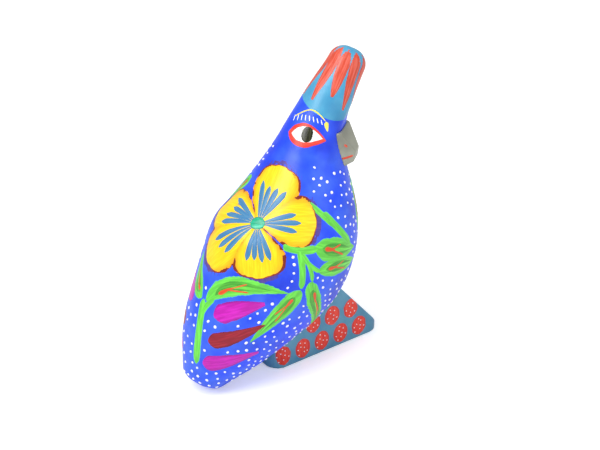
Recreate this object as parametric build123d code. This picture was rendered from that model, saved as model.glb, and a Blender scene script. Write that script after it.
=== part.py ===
"""A carved, hollow wooden guiro in the shape of a bird that stands on a wedge foot.

The body is two hollowed half shells, glued and dowelled on the middle plane.  The head,
plume, beak and foot are solid blocks, each seated on the form behind it and held by glued
dowels.  The rasp is filed across the left flank, above the sound hole.

Frame: millimetres, +Z up, +X towards the breast, +Y towards the bird's left.
The origin is the middle of the foot's flat bottom.
"""

import os
from math import cos, radians, sin
from typing import NamedTuple

from build123d import *


class Station(NamedTuple):
    """One oval cross-section of the carved form: its middle and its two diameters."""

    x: float
    z: float
    depth: float
    width: float


# ------------------------------------------------------------------ the carved form
tail_tip = Station(x=-91.0, z=5.5, depth=25.0, width=23.0)
tail = Station(x=-79.5, z=21.5, depth=47.0, width=43.0)
rump = Station(x=-65.5, z=38.5, depth=67.0, width=61.0)
haunch = Station(x=-49.5, z=56.0, depth=82.0, width=76.0)
belly = Station(x=-33.0, z=75.0, depth=94.0, width=85.0)
breast = Station(x=-19.5, z=97.0, depth=85.5, width=81.0)
shoulder = Station(x=-12.5, z=119.5, depth=67.0, width=64.0)
throat = Station(x=-6.5, z=142.5, depth=45.0, width=43.0)
crown = Station(x=1.5, z=162.5, depth=33.0, width=32.0)
plume_root = Station(x=11.5, z=179.0, depth=27.0, width=26.0)
plume_tip = Station(x=24.8, z=200.0, depth=24.0, width=23.0)
tail_tip_round = 10.0
plume_tip_round = 9.5

# ------------------------------------------------------------------ the hollow
wall = 8.0
hollow_foot_share = 0.50  # how far the hollow goes from the rump towards the tail
hollow_top_share = 0.45  # how far it goes from the breast towards the shoulder
hollow_end_round = 12.0

# ------------------------------------------------------------------ neck, plume and face
neck_share = 0.30  # of the way from the shoulder to the throat
plume_share = 0.39  # of the way from the crown to the plume's root
plume_seat_tilt = 25.0  # degrees from level, dipping towards the beak
face_turn = -52.0  # degrees about +Z: the head looks over the bird's right shoulder
face_reach = 15.2
face_height = 153.0
face_scoop_radius = 45.0

# ------------------------------------------------------------------ beak
beak_reach = 24.2
beak_brow_reach = 16.4
beak_top = 157.0
beak_tip_top = 143.5
beak_tip_bottom = 137.0
beak_bottom = 133.5
beak_root_width = 22.0
beak_tip_width = 9.0
beak_root_depth = 10.0  # of the blank, behind the face, before it is fitted to the head
beak_edge_round = 1.2

# ------------------------------------------------------------------ foot
foot_length = 87.0
foot_width = 25.0
foot_blank_height = 60.0
foot_toe_height = 3.0
foot_front_slope = 50.0  # degrees up from the floor
foot_corner_round = 10.0

# ------------------------------------------------------------------ rasp and sound hole
rasp_grooves = 18
rasp_pitch = 3.8
rasp_start = 6.0  # along the flank from the haunch
groove_width = 2.6
groove_depth = 3.0
groove_length = 44.0
sound_hole_diameter = 20.0
sound_hole_share = 0.35  # of the way from the rump to the haunch

# ------------------------------------------------------------------ glued dowels
seam_dowel_diameter = 4.0
seam_dowel_length = 14.0
neck_dowel_diameter = 10.0
neck_dowel_length = 28.0
plume_dowel_diameter = 6.0
plume_dowel_length = 22.0
beak_dowel_diameter = 4.0
beak_dowel_length = 13.0
beak_dowel_bite = 5.0  # into the beak
foot_dowel_diameter = 5.0
foot_dowel_length = 14.0
foot_dowel_bite = 5.5  # into the shell's wall
foot_dowel_spacing = 13.0

# ------------------------------------------------------------------ worked-out values
stations = (tail_tip, tail, rump, haunch, belly, breast, shoulder, throat, crown, plume_root, plume_tip)
flank_stations = (haunch, belly, breast, shoulder)
seam_seats = ((rump, 1), (breast, 1), (belly, -1), (shoulder, -1))  # 1 back, -1 front
up = Vector(0, 0, 1)
face_way = Vector(cos(radians(face_turn)), sin(radians(face_turn)), 0)
beyond = 2 * plume_tip.z  # longer than the whole bird


def middle_of(station):
    return Vector(station.x, 0, station.z)


spine = Spline(*[middle_of(station) for station in stations])


def plane_across(point, tangent):
    """The plane across the form at a point, its X towards the bird's back."""
    return Plane(origin=point, x_dir=(-tangent.Z, 0, tangent.X), z_dir=tangent)


def station_plane(station):
    """The plane across the spine, through the spot on it that is nearest to the station."""
    _, nearest, _ = spine.distance_to_with_closest_points(middle_of(station))
    return plane_across(nearest, spine.tangent_at(nearest))


def point_between(below, above, share):
    return middle_of(below) + (middle_of(above) - middle_of(below)) * share


def joint_plane(below, above, share):
    """The square cut through the form part of the way from one station to the next."""
    way = middle_of(above) - middle_of(below)
    return plane_across(point_between(below, above, share), way.normalized())


def half_space(plane):
    """A block that fills everything on the plane's Z side."""
    return extrude(plane * Rectangle(2 * beyond, 2 * beyond), beyond)


# ------------------------------------------------------------------ the lofted forms
def blend(first, second, share):
    """The station part of the way from one station to the next."""
    return Station(*[a + (b - a) * share for a, b in zip(first, second)])


def tapering_form(rings, first_round, last_round, inset=0.0):
    """A smooth loft through the stations, drawn in by the inset, with its two ends rounded."""
    sections = [
        station_plane(station) * Ellipse(station.depth / 2 - inset, station.width / 2 - inset)
        for station in rings
    ]
    form = loft(sections)
    lowest, *_, highest = form.faces().filter_by(GeomType.PLANE).sort_by(Axis.Z)
    form = fillet(lowest.edges(), first_round)
    highest = form.faces().filter_by(GeomType.PLANE).sort_by(Axis.Z)[-1]
    return fillet(highest.edges(), last_round)


def hollow_form():
    """The air inside, a wall's thickness in from the outside."""
    foot = blend(rump, tail, hollow_foot_share)
    top = blend(breast, shoulder, hollow_top_share)
    rings = (foot, rump, haunch, belly, breast, top)
    return tapering_form(rings, hollow_end_round, hollow_end_round, inset=wall)


def face_scoop():
    """The large shallow gouge cut that flattens the face above and below the beak."""
    axis_point = face_way * (face_reach + face_scoop_radius) + up * face_height
    across = Plane(origin=axis_point, x_dir=face_way, z_dir=face_way.cross(up))
    return extrude(across * Circle(face_scoop_radius), beyond, both=True)


# ------------------------------------------------------------------ dowels
def dowel(plane, diameter, below, above):
    """A round dowel along the plane's normal, so long below the plane and so long above it."""
    return extrude(plane.offset(-below) * Circle(diameter / 2), below + above)


def seam_dowels():
    """The dowels across the middle plane, in the thickness of the wall."""
    pegs = []
    for station, side in seam_seats:
        place = station_plane(station)
        seat = place.origin + place.x_dir * side * (station.depth - wall) / 2
        pegs.append(
            dowel(
                Plane(origin=seat, z_dir=(0, 1, 0)),
                seam_dowel_diameter,
                seam_dowel_length / 2,
                seam_dowel_length / 2,
            )
        )
    return pegs


def neck_dowel():
    half = neck_dowel_length / 2
    return dowel(joint_plane(shoulder, throat, neck_share), neck_dowel_diameter, half, half)


def plume_dowel():
    half = plume_dowel_length / 2
    return dowel(joint_plane(crown, plume_root, plume_share), plume_dowel_diameter, half, half)


def beak_dowel():
    seat = face_way * face_reach + up * (beak_tip_top + beak_tip_bottom) / 2
    behind = beak_dowel_length - beak_dowel_bite
    return dowel(Plane(origin=seat, z_dir=face_way), beak_dowel_diameter, behind, beak_dowel_bite)


def foot_dowels():
    """Two pairs of dowels from the foot into the shells, one of each pair in each shell."""
    pegs = []
    for station in (rump, haunch):
        place = station_plane(station)
        for side in (-1, 1):
            seat = place.origin - place.x_dir * station.depth / 2
            seat += Vector(0, side * foot_dowel_spacing / 2, 0)
            outwards = Plane(origin=seat, z_dir=-place.x_dir)
            below = foot_dowel_length - foot_dowel_bite
            pegs.append(dowel(outwards, foot_dowel_diameter, foot_dowel_bite, below))
    return pegs


# ------------------------------------------------------------------ rasp and sound hole
def rasp_cutters():
    """Straight V-shaped file strokes, side by side along the left flank."""
    flank = Spline(*[(station.x, station.width / 2, station.z) for station in flank_stations])
    cutters = []
    for count in range(rasp_grooves):
        share = (rasp_start + count * rasp_pitch) / flank.length
        tangent = flank % share
        stroke = Plane(origin=flank @ share, x_dir=tangent, z_dir=(-tangent.Z, 0, tangent.X))
        notch = Polyline(
            (0, -groove_depth),
            (groove_width, groove_depth),
            (-groove_width, groove_depth),
            close=True,
        )
        cutters.append(extrude(stroke * make_face(notch), groove_length / 2, both=True))
    return cutters


def sound_hole():
    mouth = Plane(origin=point_between(rump, haunch, sound_hole_share), z_dir=(0, 1, 0))
    return extrude(mouth * Circle(sound_hole_diameter / 2), beyond)


# ------------------------------------------------------------------ blanks
def beak_blank():
    """The beak sawn to its side outline and to its top outline, with its edges eased."""
    root = face_reach - beak_root_depth
    side_plane = Plane(origin=(0, 0, 0), x_dir=face_way, z_dir=face_way.cross(up))
    side_outline = Polyline(
        (root, beak_bottom),
        (face_reach, beak_bottom),
        (beak_reach - 1, beak_tip_bottom),
        (beak_reach, beak_tip_top),
        (beak_brow_reach, beak_top),
        (root, beak_top),
        close=True,
    )
    top_plane = Plane(origin=(0, 0, beak_bottom), x_dir=face_way, z_dir=up)
    top_outline = Polyline(
        (root, -beak_root_width / 2),
        (face_reach, -beak_root_width / 2),
        (beak_reach, -beak_tip_width / 2),
        (beak_reach, beak_tip_width / 2),
        (face_reach, beak_root_width / 2),
        (root, beak_root_width / 2),
        close=True,
    )
    side = extrude(side_plane * make_face(side_outline), beak_root_width, both=True)
    top = extrude(top_plane * make_face(top_outline), beak_top - beak_bottom)
    blank = side & top
    root_face = blank.faces().sort_by(Axis((0, 0, 0), face_way))[0]
    eased = [edge for edge in blank.edges() if edge not in root_face.edges()]
    return fillet(eased, beak_edge_round)


def foot_blank():
    """The foot sawn to its side outline and to its round-cornered plan."""
    rise = foot_blank_height - foot_toe_height
    toe = foot_length / 2
    brow = toe - rise * cos(radians(foot_front_slope)) / sin(radians(foot_front_slope))
    side_outline = Polyline(
        (-toe, 0),
        (toe, 0),
        (toe, foot_toe_height),
        (brow, foot_blank_height),
        (-toe, foot_blank_height),
        close=True,
    )
    side = extrude(Plane.XZ * make_face(side_outline), foot_width, both=True)
    plan = extrude(RectangleRounded(foot_length, foot_width, foot_corner_round), foot_blank_height)
    return side & plan


# ------------------------------------------------------------------ the pieces
def make_pieces():
    """Every piece by its node name."""
    form = tapering_form(stations, tail_tip_round, plume_tip_round) - face_scoop()
    neck_cut = joint_plane(shoulder, throat, neck_share)
    tilt = radians(plume_seat_tilt)
    plume_cut = Plane(
        origin=point_between(crown, plume_root, plume_share),
        z_dir=up * cos(tilt) + face_way * sin(tilt),
    )
    above_neck = half_space(neck_cut)
    above_plume_seat = half_space(plume_cut)
    right_side = half_space(Plane.XZ)
    seam_pegs = seam_dowels()
    foot_pegs = foot_dowels()
    neck_peg = neck_dowel()
    plume_peg = plume_dowel()
    beak_peg = beak_dowel()

    body = form - above_neck - hollow_form() - seam_pegs - foot_pegs - neck_peg
    skull = (form & above_neck) - above_plume_seat
    return {
        "right_body_shell": body & right_side,
        "left_body_shell": body - right_side - rasp_cutters() - sound_hole(),
        "seam_dowels": Compound(seam_pegs),
        "neck_dowel": neck_peg,
        "head": skull - neck_peg - plume_peg - beak_peg,
        "plume": (form & above_plume_seat) - plume_peg,
        "plume_dowel": plume_peg,
        "beak": beak_blank() - form - beak_peg,
        "beak_dowel": beak_peg,
        "foot": foot_blank() - form - foot_pegs,
        "foot_dowels": Compound(foot_pegs),
    }


os.makedirs("parts", exist_ok=True)
for name, piece in make_pieces().items():
    export_step(piece, f"parts/{name}.step")
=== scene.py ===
import math
import random

import bmesh
import bpy
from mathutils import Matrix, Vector, kdtree, noise
from mathutils.bvhtree import BVHTree


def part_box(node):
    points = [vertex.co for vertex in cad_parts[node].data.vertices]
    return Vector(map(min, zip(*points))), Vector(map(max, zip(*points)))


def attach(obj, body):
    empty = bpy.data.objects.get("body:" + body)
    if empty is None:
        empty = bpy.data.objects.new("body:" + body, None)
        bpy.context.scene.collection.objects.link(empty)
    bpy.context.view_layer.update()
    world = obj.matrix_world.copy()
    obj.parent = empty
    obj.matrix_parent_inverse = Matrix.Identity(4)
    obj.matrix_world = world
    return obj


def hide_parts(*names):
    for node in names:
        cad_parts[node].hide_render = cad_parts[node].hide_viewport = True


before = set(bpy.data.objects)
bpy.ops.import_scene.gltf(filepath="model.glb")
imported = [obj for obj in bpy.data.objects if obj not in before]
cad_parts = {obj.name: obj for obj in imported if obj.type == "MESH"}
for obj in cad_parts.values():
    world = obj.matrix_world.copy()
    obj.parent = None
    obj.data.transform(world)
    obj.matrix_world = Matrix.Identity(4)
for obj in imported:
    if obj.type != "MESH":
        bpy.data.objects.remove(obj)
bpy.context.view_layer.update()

# ---------------------------------------------------------------- the view
# The bird stands on a white table under soft studio lamps, seen from its right and a
# little from above.
mm = 0.001
view_azimuth = math.radians(-36.0)
view_elevation = math.radians(29.0)
view_target = Vector((-14.0, 0.0, 92.0)) * mm
view_distance = 800.0 * mm


def outward(azimuth, elevation):
    """The way out from the bird; azimuth 0 is its right side, in radians."""
    level = math.cos(elevation)
    return Vector((math.sin(azimuth) * level, -math.cos(azimuth) * level, math.sin(elevation)))


towards_camera = outward(view_azimuth, view_elevation)
camera = bpy.data.objects.new("camera", bpy.data.cameras.new("camera"))
camera.data.sensor_width = 36.0
camera.data.lens = 77.4
camera.location = view_target + towards_camera * view_distance
camera.rotation_euler = towards_camera.to_track_quat("Z", "Y").to_euler()
bpy.context.scene.collection.objects.link(camera)
bpy.context.scene.camera = camera
bpy.context.scene.view_settings.view_transform = "Standard"


def soft_lamp(name, azimuth, elevation, distance, size, watts):
    """A square lamp that looks at the middle of the bird."""
    out = outward(math.radians(azimuth), math.radians(elevation))
    lamp = bpy.data.objects.new(name, bpy.data.lights.new(name, "AREA"))
    lamp.data.shape = "SQUARE"
    lamp.data.size = size
    lamp.data.energy = watts
    lamp.location = Vector((0.0, 0.0, 100.0)) * mm + out * distance
    lamp.rotation_euler = out.to_track_quat("Z", "Y").to_euler()
    bpy.context.scene.collection.objects.link(lamp)


soft_lamp("lamp_window", -80.0, 48.0, 1.3, 0.7, 10.5)
soft_lamp("lamp_fill", 20.0, 30.0, 1.6, 1.2, 5.5)
soft_lamp("lamp_top", -20.0, 82.0, 1.4, 0.9, 5.0)

world = bpy.data.worlds.new("white_room")
world.use_nodes = True
room = world.node_tree.nodes["Background"]
room.inputs["Color"].default_value = (1.0, 1.0, 1.0, 1.0)
room.inputs["Strength"].default_value = 0.5
bpy.context.scene.world = world

bpy.ops.object.select_all(action="DESELECT")
bpy.ops.mesh.primitive_plane_add(size=8.0)
table = bpy.context.object
table.name = "table"
table_paint = bpy.data.materials.new("white_table")
table_paint.use_nodes = True
table_shader = table_paint.node_tree.nodes["Principled BSDF"]
table_shader.inputs["Base Color"].default_value = (0.93, 0.93, 0.93, 1.0)
table_shader.inputs["Roughness"].default_value = 0.7
# The camera alone sees the table a little lighter, so that it stays white round the shadow.
table_shader.inputs["Emission Color"].default_value = (1.0, 1.0, 1.0, 1.0)
table_glow = table_paint.node_tree.nodes.new("ShaderNodeLightPath")
table_glow_share = table_paint.node_tree.nodes.new("ShaderNodeMath")
table_glow_share.operation = "MULTIPLY"
table_glow_share.inputs[1].default_value = 0.35
table_links = table_paint.node_tree.links
table_links.new(table_glow.outputs["Is Camera Ray"], table_glow_share.inputs[0])
table_links.new(table_glow_share.outputs[0], table_shader.inputs["Emission Strength"])
table.data.materials.append(table_paint)

# ---------------------------------------------------------------- body, head and plume
# The body is two hollowed shells glued on the middle plane, with the head and the plume
# glued on above.  The joins are filled and sanded, so the paint runs over them unbroken.
form_voxel = 0.6 * mm
smooth_factor = 0.5
smooth_passes = 3
body_face_share = 0.38  # keeps the body under 200,000 triangles
carve_depth = 0.22 * mm
carve_length = 13.0 * mm


def node_copy(name):
    """The CAD node's mesh as a new object, with its loose triangles merged."""
    copy = bpy.data.objects.new(name + "_copy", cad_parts[name].data.copy())
    bpy.context.scene.collection.objects.link(copy)
    mesh = bmesh.new()
    mesh.from_mesh(copy.data)
    bmesh.ops.remove_doubles(mesh, verts=mesh.verts, dist=1e-6)
    mesh.to_mesh(copy.data)
    mesh.free()
    copy.data.materials.clear()
    return copy


def largest_flat(obj):
    """The point and normal of the largest flat face of a copy."""
    mesh = bmesh.new()
    mesh.from_mesh(obj.data)
    areas = {}
    for face in mesh.faces:
        normal = face.normal
        height = normal.dot(face.verts[0].co)
        key = (*(round(value, 3) for value in normal), round(height / mm, 2))
        area, _, _ = areas.get(key, (0.0, None, None))
        areas[key] = (area + face.calc_area(), face.verts[0].co.copy(), normal.copy())
    mesh.free()
    _, point, normal = max(areas.values(), key=lambda entry: entry[0])
    return point, normal


def delete_faces_on(obj, point, normal):
    """Takes away the faces of a copy that lie in a joint's plane."""
    mesh = bmesh.new()
    mesh.from_mesh(obj.data)
    flat = [
        face
        for face in mesh.faces
        if all(abs(normal.dot(vert.co - point)) < 1e-6 for vert in face.verts)
    ]
    bmesh.ops.delete(mesh, geom=flat, context="FACES")
    mesh.to_mesh(obj.data)
    mesh.free()


def only_select(obj):
    bpy.ops.object.select_all(action="DESELECT")
    obj.select_set(True)
    bpy.context.view_layer.objects.active = obj


def apply_modifier(obj, kind, **settings):
    """Adds one modifier with its settings and applies it."""
    only_select(obj)
    modifier = obj.modifiers.new(kind, kind)
    for name, value in settings.items():
        setattr(modifier, name, value)
    bpy.ops.object.modifier_apply(modifier=modifier.name)


def cut_off(obj, name, point, normal):
    """Cuts a closed mesh at a plane; the side that the normal points to becomes a new object."""
    above = bpy.data.objects.new(name, obj.data.copy())
    bpy.context.scene.collection.objects.link(above)
    for part, keep_above in ((obj, False), (above, True)):
        only_select(part)
        bpy.ops.object.mode_set(mode="EDIT")
        bpy.ops.mesh.select_all(action="SELECT")
        bpy.ops.mesh.bisect(
            plane_co=point,
            plane_no=normal,
            use_fill=True,
            clear_inner=keep_above,
            clear_outer=not keep_above,
        )
        bpy.ops.object.mode_set(mode="OBJECT")
    return above


def carve(obj, depth, length):
    """Shallow unevenness, as a knife and sandpaper leave it.  Normals are read before any move."""
    normals = [vert.normal.copy() for vert in obj.data.vertices]
    for vert, normal in zip(obj.data.vertices, normals):
        wave = noise.noise(vert.co / length) + 0.4 * noise.noise(vert.co / (length * 0.4))
        vert.co += normal * wave * depth


def tree_of(obj):
    """The object's surface, for finding the nearest spot on it."""
    return BVHTree.FromPolygons(
        [vert.co.copy() for vert in obj.data.vertices],
        [tuple(face.vertices) for face in obj.data.polygons],
    )


def finish_mesh(obj, name, sharp=40.0):
    obj.name = name
    obj.data.name = name
    only_select(obj)
    bpy.ops.object.shade_smooth_by_angle(angle=math.radians(sharp))


formed_nodes = ("right_body_shell", "left_body_shell", "head", "plume")
copies = {name: node_copy(name) for name in formed_nodes}
neck_point, neck_normal = largest_flat(copies["head"])
seat_point, seat_normal = largest_flat(copies["plume"])
seam = (Vector(), Vector((0, 1, 0)))
neck = (neck_point, neck_normal)
plume_seat = (seat_point, seat_normal)
joints = {
    "right_body_shell": (seam, neck),
    "left_body_shell": (seam, neck),
    "head": (neck, plume_seat),
    "plume": (plume_seat,),
}
for name, planes in joints.items():
    for point, normal in planes:
        delete_faces_on(copies[name], point, normal)
bpy.ops.object.select_all(action="DESELECT")
for copy in copies.values():
    copy.select_set(True)
body = copies["right_body_shell"]
bpy.context.view_layer.objects.active = body
bpy.ops.object.join()
apply_modifier(body, "REMESH", mode="VOXEL", voxel_size=form_voxel)
apply_modifier(body, "SMOOTH", factor=smooth_factor, iterations=smooth_passes)
carve(body, carve_depth, carve_length)
form_tree = tree_of(body)
head = cut_off(body, "head_block", neck_point, -neck_normal)
plume = cut_off(head, "plume_block", seat_point, -seat_normal)
apply_modifier(body, "DECIMATE", ratio=body_face_share)
finish_mesh(body, "painted_body")
finish_mesh(head, "painted_head")
finish_mesh(plume, "painted_plume")

def grey_noise(tree, vector, scale, detail=3.0):
    """A noise texture on a vector socket; returns its value socket."""
    node = tree.nodes.new("ShaderNodeTexNoise")
    node.inputs["Scale"].default_value = scale
    node.inputs["Detail"].default_value = detail
    tree.links.new(vector, node.inputs["Vector"])
    return node.outputs["Fac"]


def ramp(tree, value, low, high):
    """Value read from low to high as 0 to 1."""
    node = tree.nodes.new("ShaderNodeMapRange")
    node.inputs["From Min"].default_value = low
    node.inputs["From Max"].default_value = high
    tree.links.new(value, node.inputs["Value"])
    return node.outputs["Result"]


def mixed(tree, share, first, second):
    """A colour mix; each colour is a socket or three numbers."""
    node = tree.nodes.new("ShaderNodeMix")
    node.data_type = "RGBA"
    tree.links.new(share, node.inputs["Factor"])
    for colour, socket in ((first, node.inputs["A"]), (second, node.inputs["B"])):
        if isinstance(colour, bpy.types.NodeSocket):
            tree.links.new(colour, socket)
        else:
            socket.default_value = (*colour, 1.0)
    return node.outputs["Result"]


def make_group(name, colours, numbers):
    """An empty shader group with named inputs, and the outputs Color and Height."""
    group = bpy.data.node_groups.new(name, "ShaderNodeTree")
    for label in colours:
        group.interface.new_socket(label, in_out="INPUT", socket_type="NodeSocketColor")
    for label in numbers:
        group.interface.new_socket(label, in_out="INPUT", socket_type="NodeSocketFloat")
    group.interface.new_socket("Vector", in_out="INPUT", socket_type="NodeSocketVector")
    group.interface.new_socket("Color", in_out="OUTPUT", socket_type="NodeSocketColor")
    group.interface.new_socket("Height", in_out="OUTPUT", socket_type="NodeSocketFloat")
    return group, group.nodes.new("NodeGroupInput"), group.nodes.new("NodeGroupOutput")


ground_group, given, out = make_group("brushed_ground", ("Paint", "Thin", "Deep"), ())
broad = ramp(ground_group, grey_noise(ground_group, given.outputs["Vector"], 55.0), 0.35, 0.68)
fine = grey_noise(ground_group, given.outputs["Vector"], 420.0, 6.0)
blend = mixed(ground_group, broad, given.outputs["Paint"], given.outputs["Thin"])
deep = ramp(ground_group, grey_noise(ground_group, given.outputs["Vector"], 31.0), 0.52, 0.75)
ground = mixed(ground_group, deep, blend, given.outputs["Deep"])
ground_group.links.new(ground, out.inputs["Color"])
ground_group.links.new(fine, out.inputs["Height"])

stroke_group, given, out = make_group("brush_stroke", ("Paint", "Light", "Edge"), ("Across",))
streak = grey_noise(stroke_group, given.outputs["Vector"], 1.0, 5.0)
streaked = ramp(stroke_group, streak, 0.42, 0.68)
blend = mixed(stroke_group, streaked, given.outputs["Paint"], given.outputs["Light"])
rim = stroke_group.nodes.new("ShaderNodeMath")
rim.operation = "ABSOLUTE"
stroke_group.links.new(given.outputs["Across"], rim.inputs[0])
edge = ramp(stroke_group, rim.outputs[0], 0.62, 0.97)
rimmed = mixed(stroke_group, edge, blend, given.outputs["Edge"])
stroke_group.links.new(rimmed, out.inputs["Color"])
stroke_group.links.new(streak, out.inputs["Height"])


def srgb(red, green, blue):
    """A paint's colour as it is named on a colour card, made linear."""
    return tuple(
        value / 12.92 if value <= 0.04045 else ((value + 0.055) / 1.055) ** 2.4
        for value in (red / 255.0, green / 255.0, blue / 255.0)
    )


def satin(name, roughness, height, distance):
    """A satin acrylic material whose colour and bump come from a group node."""
    material = bpy.data.materials.new(name)
    material.use_nodes = True
    tree = material.node_tree
    shader = tree.nodes["Principled BSDF"]
    shader.inputs["Roughness"].default_value = roughness
    shader.inputs["Specular IOR Level"].default_value = 0.4
    bump = tree.nodes.new("ShaderNodeBump")
    bump.inputs["Strength"].default_value = height
    bump.inputs["Distance"].default_value = distance
    tree.links.new(bump.outputs["Normal"], shader.inputs["Normal"])
    return material, tree, shader, bump


def ground_paint(name, paint, thin, deep):
    """Brushed-on ground colour, thinner and deeper in places."""
    material, tree, shader, bump = satin(name, 0.36, 0.25, 0.0002)
    group = tree.nodes.new("ShaderNodeGroup")
    group.node_tree = ground_group
    group.name = "ground"
    for label, colour in (("Paint", paint), ("Thin", thin), ("Deep", deep)):
        group.inputs[label].default_value = (*srgb(*colour), 1.0)
    place = tree.nodes.new("ShaderNodeTexCoord")
    tree.links.new(place.outputs["Object"], group.inputs["Vector"])
    tree.links.new(group.outputs["Color"], shader.inputs["Base Color"])
    tree.links.new(group.outputs["Height"], bump.inputs["Height"])
    return material


def stroke_paint(name, paint, light, edge, roughness=0.33):
    """Paint laid on in single strokes, streaked along the brush in a lighter tone; in the irises
    and the plume stripes that lighter tone is a painted highlight.
    """
    material, tree, shader, bump = satin(name, roughness, 0.4, 0.0002)
    group = tree.nodes.new("ShaderNodeGroup")
    group.node_tree = stroke_group
    for label, colour in (("Paint", paint), ("Light", light), ("Edge", edge)):
        group.inputs[label].default_value = (*srgb(*colour), 1.0)
    brush = tree.nodes.new("ShaderNodeAttribute")
    brush.attribute_name = "brush"
    across = tree.nodes.new("ShaderNodeAttribute")
    across.attribute_name = "across"
    tree.links.new(brush.outputs["Vector"], group.inputs["Vector"])
    tree.links.new(across.outputs["Fac"], group.inputs["Across"])
    tree.links.new(group.outputs["Color"], shader.inputs["Base Color"])
    tree.links.new(group.outputs["Height"], bump.inputs["Height"])
    return material


wood_light = (222, 190, 140)
wood_dark = (188, 146, 96)
wood_grain_scale = 900.0


def wood_colour(tree, grain):
    return mixed(tree, ramp(tree, grain, 0.3, 0.7), srgb(*wood_light), srgb(*wood_dark))


def bare_wood(name):
    """Pale unpainted wood with fine grain along the piece's height."""
    material, tree, shader, bump = satin(name, 0.62, 0.3, 0.0002)
    place = tree.nodes.new("ShaderNodeTexCoord")
    squeeze = tree.nodes.new("ShaderNodeMapping")
    squeeze.inputs["Scale"].default_value = (1.0, 1.0, 0.12)
    tree.links.new(place.outputs["Object"], squeeze.inputs["Vector"])
    grain = grey_noise(tree, squeeze.outputs["Vector"], wood_grain_scale, 6.0)
    tree.links.new(wood_colour(tree, grain), shader.inputs["Base Color"])
    tree.links.new(grain, bump.inputs["Height"])
    return material


cobalt_tones = ((24, 72, 248), (58, 104, 240), (8, 44, 200))


def blue_with_bare_cuts():
    """Cobalt ground colour; the hollow and the filed grooves are bare wood."""
    material = ground_paint("cobalt_ground", *cobalt_tones)
    tree = material.node_tree
    place = tree.nodes.new("ShaderNodeTexCoord")
    cut = tree.nodes.new("ShaderNodeAttribute")
    cut.attribute_name = "cut_depth"
    grain = grey_noise(tree, place.outputs["Object"], wood_grain_scale, 6.0)
    bare = ramp(tree, cut.outputs["Fac"], 0.35, 0.6)
    colour = mixed(tree, bare, tree.nodes["ground"].outputs["Color"], wood_colour(tree, grain))
    tree.links.new(colour, tree.nodes["Principled BSDF"].inputs["Base Color"])
    return material


axis_tail = Vector((-85.5, 0.0, 1.9)) * mm
axis_top = Vector((23.0, 0.0, 201.0)) * mm
axis_up = (axis_top - axis_tail).normalized()
axis_back = Vector((-axis_up.z, 0.0, axis_up.x))
axis_right = Vector((0.0, -1.0, 0.0))


# Millimetres: where the hollow lies along the axis, the depth written for it, and how far
# out to the left the rasp's flank starts.
hollow_low, hollow_high = 35.0, 150.0
hollow_cut_depth = 5.0
flank_from = 18.0


def mark_cuts(obj):
    """Writes how deep, in millimetres, each point lies under the painted outside."""
    depths = []
    for vert in obj.data.vertices:
        rise = (vert.co - axis_tail).dot(axis_up)
        from_axis = vert.co - (axis_tail + axis_up * rise)
        depth = 0.0
        faces_in = vert.normal.dot(from_axis) < -0.15 * from_axis.length
        if faces_in and hollow_low * mm < rise < hollow_high * mm:
            depth = hollow_cut_depth
        elif vert.co.y > flank_from * mm:
            mirrored = Vector((vert.co.x, -vert.co.y, vert.co.z))
            depth = form_tree.find_nearest(mirrored)[3] / mm
        depths.append(depth)
    obj.data.attributes.new("cut_depth", "FLOAT", "POINT").data.foreach_set("value", depths)


mark_cuts(body)
body.data.materials.append(blue_with_bare_cuts())
head.data.materials.append(ground_paint("cobalt_head", *cobalt_tones))
sky = ground_paint("sky_ground", (67, 154, 197), (96, 176, 208), (44, 128, 180))
plume.data.materials.append(sky)
for part, slot_name, stands_for in (
    (body, "body", ("right_body_shell", "left_body_shell")),
    (head, "body", ("head",)),
    (plume, "plume", ("plume",)),
):
    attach(part, "root")
    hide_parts(*stands_for)

# ---------------------------------------------------------------- leaves, stem and feathers
# Painted freehand in acrylic over the dry blue ground: one loaded stroke each, a little
# proud of the surface, with the leaves' red hearts laid on top.
draw = random.Random(7)
ray_start = 120.0 * mm  # outside the bird, from its axis


def on_bird(rise, turn):
    """The outside of the bird, millimetres up its axis and degrees round it from the back."""
    middle = axis_tail + axis_up * rise * mm
    out_way = axis_back * math.cos(math.radians(turn)) + axis_right * math.sin(math.radians(turn))
    hit = form_tree.ray_cast(middle + out_way * ray_start, -out_way)
    return hit[0], hit[1]


def path_on(place, controls, steps=22):
    """Points and normals along a smooth curve through two or three places."""
    first, last = controls[0], controls[-1]
    middle = tuple((a + b) / 2 for a, b in zip(first, last))
    if len(controls) == 3:
        middle = controls[1]
    path = []
    for count in range(steps + 1):
        t = count / steps
        weights = (2 * (t - 0.5) * (t - 1), 4 * t * (1 - t), 2 * t * (t - 0.5))
        spot = (
            sum(weight * value for weight, value in zip(weights, values))
            for values in zip(first, middle, last)
        )
        path.append(place(*spot))
    return path


def leaf_shape(t):
    return math.sin(math.pi * t ** 0.8) ** 0.85


def drop_shape(t):
    """Fat and round at the start, drawn out to a point."""
    return min(1.0, (t / 0.16) ** 0.5) * (1.0 - 0.82 * max(0.0, (t - 0.3) / 0.7) ** 1.6)


def line_shape(t):
    return min(1.0, t / 0.06, (1 - t) / 0.12) ** 0.5


def round_shape(t):
    return max(0.0, 1 - (2 * t - 1) ** 2) ** 0.5


def petal_shape(t):
    """Narrow at the middle of the flower, wide and round at its tip."""
    if t < 0.66:
        return 0.16 + 0.84 * math.sin(math.pi / 2 * t / 0.66) ** 1.25
    return max(0.0, 1 - ((t - 0.66) / 0.34) ** 2.6) ** 0.5


# A stroke's film, in millimetres: how far its edge and its root lie under the surface.  Its
# outline wavers, and its streaks are ten times longer than they are wide.
edge_sink = 0.03
film_root = 0.25
wave_step = 0.35
along_scale = 0.09
across_scale = 0.9
dot_sides = 9


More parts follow.
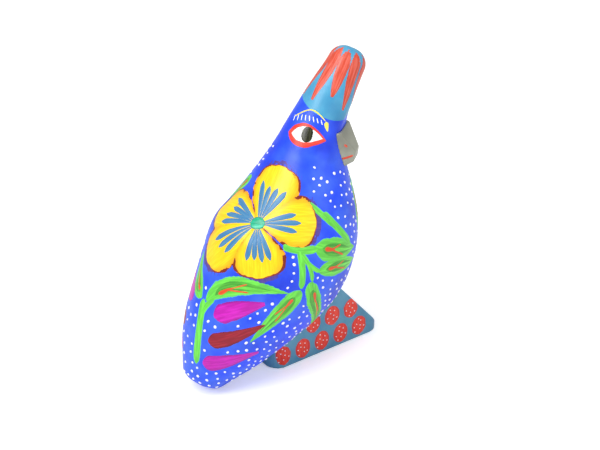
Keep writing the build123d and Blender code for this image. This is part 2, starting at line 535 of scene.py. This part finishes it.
class PaintLayer:
    """Strokes of one paint, gathered into one closed mesh."""

    def __init__(self, name, material, slot_name="body", tree=form_tree):
        self.name, self.material = name, material
        self.slot_name, self.tree = slot_name, tree
        self.points, self.faces, self.brush, self.across = [], [], [], []

    def stroke(self, path, width, shape, lift=0.12, spans=6, wave=0.04):
        """A thin closed film of paint along the path."""
        seed = draw.uniform(0, 100)
        base, run = len(self.points), 0.0
        last = len(path) - 1
        for count, (point, normal) in enumerate(path):
            ahead = path[min(count + 1, last)][0] - path[max(count - 1, 0)][0]
            side = normal.cross(ahead).normalized()
            share = shape(min(max(count / last, 0.004), 0.996))
            half = width / 2 * mm * max(share, 0.03)
            half *= 1 + wave * noise.noise(Vector((seed, count * wave_step, 0)))
            if count:
                run += (point - path[count - 1][0]).length / mm
            for row in range(spans + 1):
                offset = 2 * row / spans - 1
                where, up_way, _, _ = self.tree.find_nearest(point + side * half * offset)
                height = lift * (1 - offset ** 4) - edge_sink
                self.points.append(where + up_way * height * mm)
                self.brush.append((run * along_scale, offset * half / mm * across_scale, seed))
                self.across.append(offset)
            for offset in (0.8, 0.0, -0.8):
                where, up_way, _, _ = self.tree.find_nearest(point + side * half * offset)
                self.points.append(where - up_way * film_root * mm)
                self.brush.append((run * along_scale, offset * half / mm * across_scale, seed))
                self.across.append(offset)
        ring = spans + 4
        for count in range(last):
            for row in range(ring):
                a = base + count * ring + row
                b = base + count * ring + (row + 1) % ring
                self.faces.append((a, b, b + ring, a + ring))
        self.faces.append(tuple(base + row for row in reversed(range(ring))))
        self.faces.append(tuple(base + last * ring + row for row in range(ring)))

    def dot(self, point, normal, radius, height):
        """A raised drop of paint."""
        side = normal.orthogonal().normalized()
        ahead = normal.cross(side)
        base = len(self.points)
        squash = draw.uniform(0.85, 1.15)
        for reach, rise in ((1.0, -0.15), (1.0, 0.25), (0.62, 0.85)):
            for count in range(dot_sides):
                angle = 2 * math.pi * count / dot_sides
                spot = side * math.cos(angle) * squash + ahead * math.sin(angle) / squash
                self.points.append(point + (spot * radius * reach + normal * height * rise) * mm)
        self.points.append(point + normal * height * mm)
        top = base + 3 * dot_sides
        for count in range(dot_sides):
            after = (count + 1) % dot_sides
            for ring in (base, base + dot_sides):
                a, b = ring + count, ring + after
                self.faces.append((a, b, b + dot_sides, a + dot_sides))
            self.faces.append((top - dot_sides + count, top - dot_sides + after, top))
        self.faces.append(tuple(base + count for count in reversed(range(dot_sides))))
        seed = draw.uniform(0, 100)
        self.brush += [(seed, 0.0, 0.0)] * (top - base + 1)
        self.across += [0.0] * (top - base + 1)

    def finish(self):
        mesh = bpy.data.meshes.new(self.name)
        mesh.from_pydata(self.points, [], self.faces)
        brush = mesh.attributes.new("brush", "FLOAT_VECTOR", "POINT")
        brush.data.foreach_set("vector", [value for trio in self.brush for value in trio])
        across = mesh.attributes.new("across", "FLOAT", "POINT")
        across.data.foreach_set("value", self.across)
        obj = bpy.data.objects.new(self.name, mesh)
        bpy.context.scene.collection.objects.link(obj)
        only_select(obj)
        bpy.ops.object.mode_set(mode="EDIT")
        bpy.ops.mesh.select_all(action="SELECT")
        bpy.ops.mesh.normals_make_consistent(inside=False)
        bpy.ops.object.mode_set(mode="OBJECT")
        finish_mesh(obj, self.name, 60.0)
        obj.data.materials.append(self.material)
        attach(obj, "root")


motif_spots = []  # (point, half width in millimetres), so that the dots keep clear


def keep_clear(path, width, shape):
    for count, (point, _) in enumerate(path):
        share = shape(min(max(count / (len(path) - 1), 0.01), 0.99))
        motif_spots.append((point, width / 2 * share))


def painted(layer, controls, width, shape, lift=0.12, spans=6):
    path = path_on(on_bird, controls)
    layer.stroke(path, width, shape, lift, spans)
    keep_clear(path, width, shape)


def between(first, second, share):
    return tuple(a + (b - a) * share for a, b in zip(first, second))


green = PaintLayer("painted_leaves", stroke_paint(
    "leaf_green", (96, 200, 70), (120, 236, 80), (112, 214, 110)))
dark_green = PaintLayer("painted_leaf_shades", stroke_paint(
    "leaf_shade_green", (66, 150, 52), (92, 190, 60), (96, 190, 74)))
vein = PaintLayer("painted_leaf_hearts", stroke_paint(
    "heart_red", (222, 78, 30), (236, 96, 40), (180, 60, 20)))
magenta = PaintLayer("painted_magenta_feathers", stroke_paint(
    "feather_magenta", (184, 8, 164), (214, 30, 196), (130, 6, 120)))
maroon = PaintLayer("painted_maroon_feathers", stroke_paint(
    "feather_maroon", (140, 12, 36), (176, 30, 50), (74, 8, 30)))

# Root, middle and tip as (millimetres up the axis, degrees round it), then the width.
leaves = (
    ((56, 9), (73, 35), (81, 84), 14.0),
    ((56, 2), (63, -14), (80, -26), 12.0),
    ((112, 90), (114, 112), (117, 136), 18.0),
    ((99, 100), (105, 120), (109, 143), 14.0),
    ((85, 92), (70, 87), (43, 74), 14.0),
    ((92, 99), (78, 114), (50, 163), 12.0),
    ((126, 144), (142, 145), (158, 148), 7.0),
    ((126, -144), (142, -145), (158, -148), 7.0),
    ((132, -30), (126, -41), (112, -52), 10.0),
    ((56, -150), (70, -138), (96, -140), 12.0),
)
for root, middle, tip, width in leaves:
    painted(green, (root, middle, tip), width, leaf_shape)
    shade = (between(root, middle, 0.35), middle, between(middle, tip, 0.75))
    painted(dark_green, shade, width * 0.62, leaf_shape, 0.17)
    rib = (between(root, middle, 0.8), between(middle, tip, 0.2), between(middle, tip, 0.9))
    painted(green, rib, width * 0.2, leaf_shape, 0.22, 4)
    heart = (between(root, middle, 0.45), between(root, middle, 0.9))
    painted(vein, heart, width * 0.24, drop_shape, 0.26, 4)
    spread = width * 0.45
    for way in (-1, 1):
        fork = between(middle, tip, 0.25)
        across = (fork[0] + way * spread * 0.35, fork[1] - way * spread * 0.35)
        painted(vein, (between(root, middle, 0.75), across), width * 0.09, line_shape, 0.26, 4)
for controls, width in (
    (((16, 19), (40, 12), (56, 5)), 5.5),
    (((46, 10), (53, 12), (60, 18)), 4.0),
    (((107, 62), (108, 78), (112, 93)), 5.5),
    (((107, 78), (97, 86), (86, 92)), 4.5),
    (((106, 80), (101, 90), (92, 99)), 3.0),
    (((104, 84), (101, 92), (99, 102)), 3.0),
    (((134, 64), (133, 82), (126, 108)), 4.0),
    (((132, 92), (127, 108), (119, 128)), 5.0),
):
    painted(green, controls, width, line_shape, 0.16)
for side in (1, -1):
    on_right = side > 0
    start = 0 if on_right else 10
    reach = 1.0 if on_right else 0.78  # the left feathers stay clear of the sound hole
    upper = ((50, side * 25 + start), (60, side * 46 * reach), (70, side * 68 * reach))
    middle_tip = 57 if on_right else 50
    middle = ((34, side * 28 + start), (42, side * 52 * reach), (middle_tip, side * 79 * reach))
    lower_tip = 37.5 if on_right else 31
    lower = ((18.5, side * 29 + start), (25, side * 58 * reach), (lower_tip, side * 93 * reach))
    painted(magenta, upper, 14.0, drop_shape)
    painted(maroon, middle, 12.0, drop_shape)
    painted(magenta, lower, 13.0, drop_shape)
for layer in (green, dark_green, vein, magenta, maroon):
    layer.finish()

# ---------------------------------------------------------------- flower
# Five overlapping petals in yellow acrylic with orange rims, over a thin purple painted shadow
# that rings them, with grey-blue streaks and a thick green drop in the middle.
flower_heart = on_bird(112, 29)


def from_heart(reach, heading):
    """The surface so many millimetres from the flower's middle, in a direction from up."""
    point, normal = flower_heart
    up_way = (axis_up - normal * axis_up.dot(normal)).normalized()
    east = up_way.cross(normal).normalized()
    if east.dot(axis_right) < 0:
        east = -east
    ahead = up_way * math.cos(math.radians(heading)) + east * math.sin(math.radians(heading))
    steps = max(1, round(reach / 2.5))
    for _ in range(steps):
        point, normal, _, _ = form_tree.find_nearest(point + ahead * reach * mm / steps)
        ahead = (ahead - normal * ahead.dot(normal)).normalized()
    return point, normal


yellow = PaintLayer("painted_petals", stroke_paint(
    "petal_yellow", (255, 204, 12), (255, 226, 30), (246, 150, 16)))
# Purple paint round each petal: a painted shadow of the petals on the blue ground.
flower_shadow = PaintLayer("painted_flower_shadow", stroke_paint(
    "shadow_purple", (74, 58, 150), (96, 70, 150), (52, 66, 200), 0.45))
rim_line = PaintLayer("painted_petal_lines", stroke_paint(
    "petal_line_red", (150, 50, 20), (190, 80, 20), (110, 30, 20)))
grey_blue = PaintLayer("painted_petal_streaks", stroke_paint(
    "streak_grey_blue", (62, 124, 176), (84, 142, 180), (84, 126, 140)))
heart = PaintLayer("painted_flower_heart", stroke_paint(
    "heart_green", (14, 160, 120), (60, 205, 165), (10, 120, 80), 0.22))
# Heading in degrees, reach and width in millimetres, and the number of streaks.
petals = ((272, 37, 34, 4), (217, 43, 32, 3), (-6, 37, 36, 4), (60, 35, 33, 3), (148, 33, 35, 4))
petal_steps = 24
streak_fan = 12.5


def petal_path(heading, length):
    """From just off the flower's middle straight out along a petal."""
    return [
        from_heart(2 + length * count / petal_steps, heading)
        for count in range(petal_steps + 1)
    ]


for order, (heading, reach, width, streaks) in enumerate(petals):
    path = petal_path(heading, reach - 2)
    halo = petal_path(heading, reach + 1.5)
    lift = 0.14 + 0.05 * order
    # The painted shadow follows the halo path, a little wider and longer than the petal.
    flower_shadow.stroke(halo, width + 5.5, petal_shape, 0.06, 10, 0.12)
    rim = petal_path(heading, reach - 1.6)
    rim_line.stroke(rim, width + 1.0, petal_shape, lift, 12, 0.0)
    yellow.stroke(path, width, petal_shape, lift + 0.06, 12, 0.05)
    keep_clear(halo, width + 3, petal_shape)
    for count in range(streaks):
        fan = (count - (streaks - 1) / 2) * streak_fan
        far = reach * draw.uniform(0.62, 0.74)
        streak_path = [
            from_heart(far + (4 - far) * step / 12, heading + fan) for step in range(13)
        ]
        grey_blue.stroke(streak_path, 5.6, drop_shape, lift + 0.14, 4)
heart_reach, heart_steps = 4.4, 10
heart_path = [
    from_heart(abs(heart_reach - 0.44 * step), 60 if step > heart_steps else 240)
    for step in range(2 * heart_steps + 1)
]
heart.stroke(heart_path, 9.6, round_shape, 0.75, 8)
for layer in (flower_shadow, rim_line, yellow, grey_blue, heart):
    layer.finish()

# ---------------------------------------------------------------- eyes and brows
# Painted on both sides of the head: a red almond, a white one inside it, a dark iris, short
# white lashes and a pale brow that ends in a yellow drop.
face_turn = -52.0


def on_head(turn, height):
    """The head at a height, so many degrees round from the way the face looks."""
    way = math.radians(face_turn + turn)
    out_way = Vector((math.cos(way), math.sin(way), 0.0))
    start = Vector((1.5, 0.0, height)) * mm + out_way * 60.0 * mm
    hit = form_tree.ray_cast(start, -out_way)
    return hit[0], hit[1]


red = PaintLayer("painted_eye_rims", stroke_paint(
    "eye_red", (232, 62, 50), (240, 84, 66), (210, 44, 44)))
white = PaintLayer("painted_eye_whites", stroke_paint(
    "eye_white", (246, 246, 242), (255, 255, 252), (236, 238, 240)))
# Dark olive-black iris paint; its lighter olive streaks are a painted reflection.
dark = PaintLayer("painted_irises", stroke_paint(
    "iris_dark", (30, 32, 16), (70, 72, 40), (14, 14, 10), 0.2))
drop_yellow = PaintLayer("painted_brow_drops", stroke_paint(
    "brow_yellow", (236, 222, 60), (250, 240, 120), (220, 200, 60)))
lash_count = 8
for side in (-1, 1):
    def eye(turn, height):
        return on_head(-side * turn, height)

    rim_path = path_on(eye, ((-129, 157.6), (-99, 158.0), (-66, 154.6)))
    red.stroke(rim_path, 16.5, leaf_shape, 0.12)
    white_path = path_on(eye, ((-122, 157.8), (-98, 158.4), (-72, 156.0)))
    white.stroke(white_path, 12.4, leaf_shape, 0.17)
    iris_path = path_on(eye, ((-97.0, 162.6), (-97.0, 154.6)))
    dark.stroke(iris_path, 9.4, round_shape, 0.24, 8)
    for count in range(lash_count):
        turn = -134 + count * 8.6
        raised = 3.4 * math.sin(math.pi * (count + 1) / (lash_count + 1)) * 0.9
        lash = path_on(eye, ((turn + 2, 162.5 + raised), (turn - 1, 165.4 + raised)), 6)
        white.stroke(lash, 0.7, line_shape, 0.12, 4)
    brow = path_on(eye, ((-136, 165.2), (-98, 171.2), (-64, 165.0)))
    drop_yellow.stroke(brow, 0.9, line_shape, 0.12, 4)
    brow_drop = path_on(eye, ((-64, 165.0), (-62, 159.5)), 10)
    drop_yellow.stroke(brow_drop, 3.0, drop_shape, 0.16)
for layer in (red, white, dark, drop_yellow):
    layer.finish()

# ---------------------------------------------------------------- plume stripes
# Long red strokes pulled down from the top of the plume, each drawn out to a point.
# Red stripe paint; the pink streaks in it are a painted highlight.
stripes = PaintLayer("painted_plume_stripes", stroke_paint(
    "stripe_red", (206, 70, 44), (232, 112, 96), (176, 56, 44)), "plume")
stripe_count = 9
for count in range(stripe_count):
    turn = count * 360 / stripe_count + 8
    foot_rise = 191 + 5 * (count % 2) + draw.uniform(-1, 1)
    stripe = path_on(on_bird, ((225, turn), (208, turn + 3), (foot_rise, turn + 5)))
    stripes.stroke(stripe, 9.0, drop_shape)
stripes.finish()

# ---------------------------------------------------------------- white dots
# Set on with the blunt end of the brush in loose rows that follow the painted shapes; each
# stands a little proud.
white_tones = ((250, 250, 250), (255, 255, 255), (238, 240, 246))
dots = PaintLayer("painted_dots", stroke_paint("dot_white", *white_tones))
dot_tries = 14000
dot_spacing = 4.6
dot_closest = 0.93 * dot_spacing
first_row = 2.0  # millimetres from a painted shape to the first row of dots
row_tolerance = 0.14
clear_gap = 1.5
search_reach = 22.0
rasp_turns = (-132, -48)
rasp_rises = (60, 152)
clear_tree = kdtree.KDTree(len(motif_spots))
for index, (point, _) in enumerate(motif_spots):
    clear_tree.insert(point, index)
clear_tree.balance()
candidates = []
for _ in range(dot_tries):
    rise, turn = draw.uniform(4, 157), draw.uniform(-180, 180)
    on_rasp = (
        rasp_turns[0] < turn < rasp_turns[1] and rasp_rises[0] < rise < rasp_rises[1]
    )
    hit = on_bird(rise, turn)
    if on_rasp or hit[0] is None:
        continue
    gaps = [
        distance / mm - motif_spots[index][1]
        for _, index, distance in clear_tree.find_range(hit[0], search_reach * mm)
    ]
    gap = min(gaps or [search_reach])
    row = (gap - first_row) / dot_spacing
    if gap > clear_gap and abs(row - round(row)) < row_tolerance:
        candidates.append((round(row), draw.random(), hit))
placed = {}
for _, _, (point, normal) in sorted(candidates, key=lambda entry: entry[:2]):
    cell = tuple(math.floor(value / (dot_spacing * mm)) for value in point)
    near = [
        other
        for x in (-1, 0, 1) for y in (-1, 0, 1) for z in (-1, 0, 1)
        for other in placed.get((cell[0] + x, cell[1] + y, cell[2] + z), ())
    ]
    if all((other - point).length > dot_closest * mm for other in near):
        placed.setdefault(cell, []).append(point)
        dots.dot(point, normal, draw.uniform(0.72, 1.05), 0.4)
dots.finish()

# ---------------------------------------------------------------- beak
# A separate block, sawn and filed to shape, glued and dowelled to the flat of the face and
# painted grey, with red nostrils and a red mouth line on each side.
beak_voxel = 0.35 * mm
beak = node_copy("beak")
apply_modifier(beak, "REMESH", mode="VOXEL", voxel_size=beak_voxel)
apply_modifier(beak, "SMOOTH", factor=smooth_factor, iterations=smooth_passes)
finish_mesh(beak, "painted_beak")
beak_grey = ground_paint("beak_grey", (142, 144, 130), (166, 168, 152), (112, 112, 104))
beak.data.materials.append(beak_grey)
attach(beak, "root")
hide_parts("beak")


beak_tree = tree_of(beak)


def on_beak(aside, height):
    """The beak's side at a height, so many millimetres out along the face's way."""
    way = math.radians(face_turn)
    out_way = Vector((math.cos(way), math.sin(way), 0.0))
    side_way = Vector((-out_way.y, out_way.x, 0.0)) * (1 if aside > 0 else -1)
    start = out_way * abs(aside) * mm + Vector((0.0, 0.0, height)) * mm + side_way * 40.0 * mm
    hit = beak_tree.ray_cast(start, -side_way)
    return (hit[0], hit[1]) if hit[0] else beak_tree.find_nearest(start)[:2]


beak_marks = PaintLayer("painted_beak_marks", stroke_paint(
    "beak_red", (214, 70, 48), (230, 96, 66), (180, 52, 40)), "beak", beak_tree)
for side in (-1, 1):
    mouth = path_on(on_beak, ((side * 15.5, 140.5), (side * 19, 140.6), (side * 23, 141.6)))
    beak_marks.stroke(mouth, 1.6, line_shape, 0.12, 4)
    nostril = path_on(on_beak, ((side * 18.2, 149.6), (side * 19.8, 147.6)), 8)
    beak_marks.stroke(nostril, 1.6, round_shape, 0.14, 4)
beak_marks.finish()

# ---------------------------------------------------------------- foot
# A sawn wedge that the body is saddled, glued and dowelled on.  It is painted grey-blue,
# with red ovals on both sides that carry small raised white dots.
foot = node_copy("foot")
apply_modifier(foot, "REMESH", mode="VOXEL", voxel_size=form_voxel)
apply_modifier(foot, "SMOOTH", factor=smooth_factor, iterations=smooth_passes)
finish_mesh(foot, "painted_foot")
slate = ground_paint("slate_ground", (76, 138, 170), (98, 158, 180), (52, 112, 150))
foot.data.materials.append(slate)
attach(foot, "root")
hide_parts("foot")

foot_tree = tree_of(foot)
ovals = PaintLayer("painted_foot_ovals", stroke_paint(
    "oval_red", (222, 48, 34), (240, 76, 50), (196, 40, 30)), "foot", foot_tree)
oval_dots = PaintLayer("painted_oval_dots", stroke_paint(
    "oval_dot_white", *white_tones), "foot", foot_tree)
oval_width, oval_height = 12.6, 14.4
oval_rows = (9.5, 25.5, 41.0)
oval_columns = 6
oval_pitch = 15.2
toe_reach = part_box("foot")[1].x / mm
slope_rise = math.tan(math.radians(50))  # the foot's front slope
oval_clearance = 5.0  # millimetres outside the body
side_from = 8.0  # millimetres out from the middle plane
oval_dot_count = 8
for side in (-1, 1):
    def on_foot(x, z):
        start = Vector((x, side * 100.0, z)) * mm
        hit = foot_tree.ray_cast(start, Vector((0.0, -side, 0.0)))
        return (hit[0], hit[1]) if hit[0] else foot_tree.find_nearest(start)[:2]

    for row, z in enumerate(oval_rows):
        for count in range(oval_columns):
            x = -36.0 + count * oval_pitch - (row % 2) * 7.0
            middle = on_foot(x, z)[0]
            below_slope = z + oval_height / 2 < (toe_reach - x) * slope_rise + 4.0
            outside = form_tree.find_nearest(middle)
            proud = (middle - outside[0]).dot(outside[1]) / mm
            if not below_slope or proud < oval_clearance or abs(middle.y) < side_from * mm:
                continue
            ends = ((x - 0.8, z + oval_height / 2), (x + 0.8, z - oval_height / 2))
            ovals.stroke(path_on(on_foot, ends, 14), oval_width, round_shape, 0.14, 8, 0.1)
            for mark in range(oval_dot_count):
                angle = mark * 2.4 + draw.uniform(-0.3, 0.3)
                reach = 5.2 * math.sqrt((mark + 0.4) / oval_dot_count)
                spot, normal = on_foot(
                    x + reach * math.cos(angle), z + reach * math.sin(angle) * 1.1
                )
                oval_dots.dot(spot, normal, 0.45, 0.38)
ovals.finish()
oval_dots.finish()

# ---------------------------------------------------------------- dowels
# Round pegs of unpainted wood, glued in their holes across every joint and hidden by the
# pieces that they hold.
bare = bare_wood("dowel_wood")
for name in ("seam_dowels", "neck_dowel", "plume_dowel", "beak_dowel", "foot_dowels"):
    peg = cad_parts[name]
    peg.data.materials.clear()
    peg.data.materials.append(bare)
